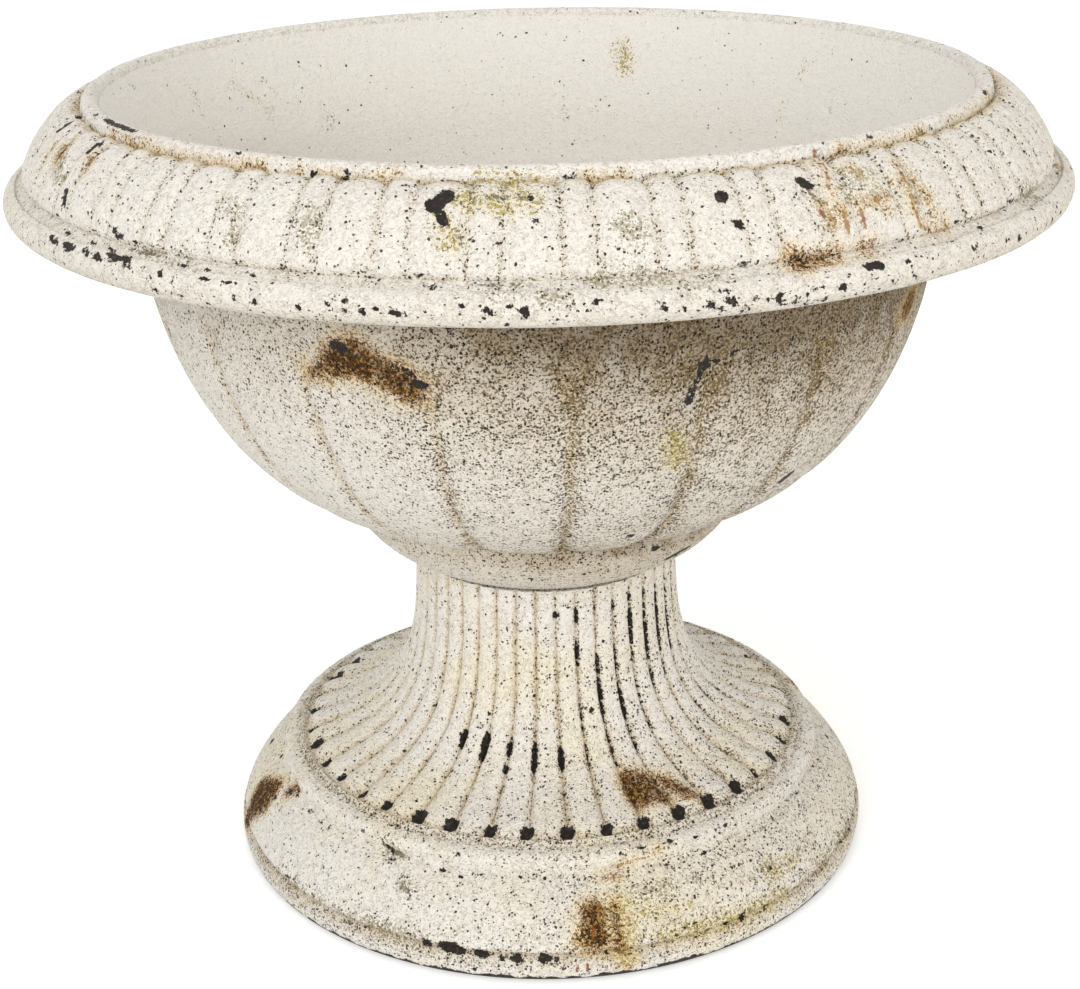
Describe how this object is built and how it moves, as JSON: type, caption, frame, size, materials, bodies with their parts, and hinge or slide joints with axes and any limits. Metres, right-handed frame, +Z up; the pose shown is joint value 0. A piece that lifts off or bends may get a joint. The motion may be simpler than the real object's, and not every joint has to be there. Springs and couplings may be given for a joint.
{
  "type": "garden urn planter",
  "caption": "Low wide garden urn in worn cream paint: egg and dart rim, gadrooned bowl with drain holes, reeded flared pedestal, cast iron, bolted at the seat.",
  "frame": {"origin": "on the ground, at the centre of the foot's flat underside", "axes": "+Z up along the axis of the bowl and the bolt; -Y faces the viewer of the picture, turned by 3.6 degrees about Z, with one crease of the bowl, one dart of the rim and one groove of the stem on it"},
  "size_m": [0.38, 0.38, 0.3013],
  "materials": {
    "cream_paint": "matt cream paint over iron, chipped to charcoal, with rust and ochre stains",
    "zinc_steel": "dull zinc plate with white bloom and first rust",
    "black_rubber": "dusty matt black"
  },
  "bodies": {
    "root": {"bowl": "cream_paint", "pedestal": "cream_paint", "seat_gasket": "black_rubber", "sealing_washer": "black_rubber", "head_washer": "zinc_steel", "tie_bolt": "zinc_steel", "nut_washer": "zinc_steel", "spring_washer": "zinc_steel", "hex_nut": "zinc_steel"}
  },
  "joints": []
}
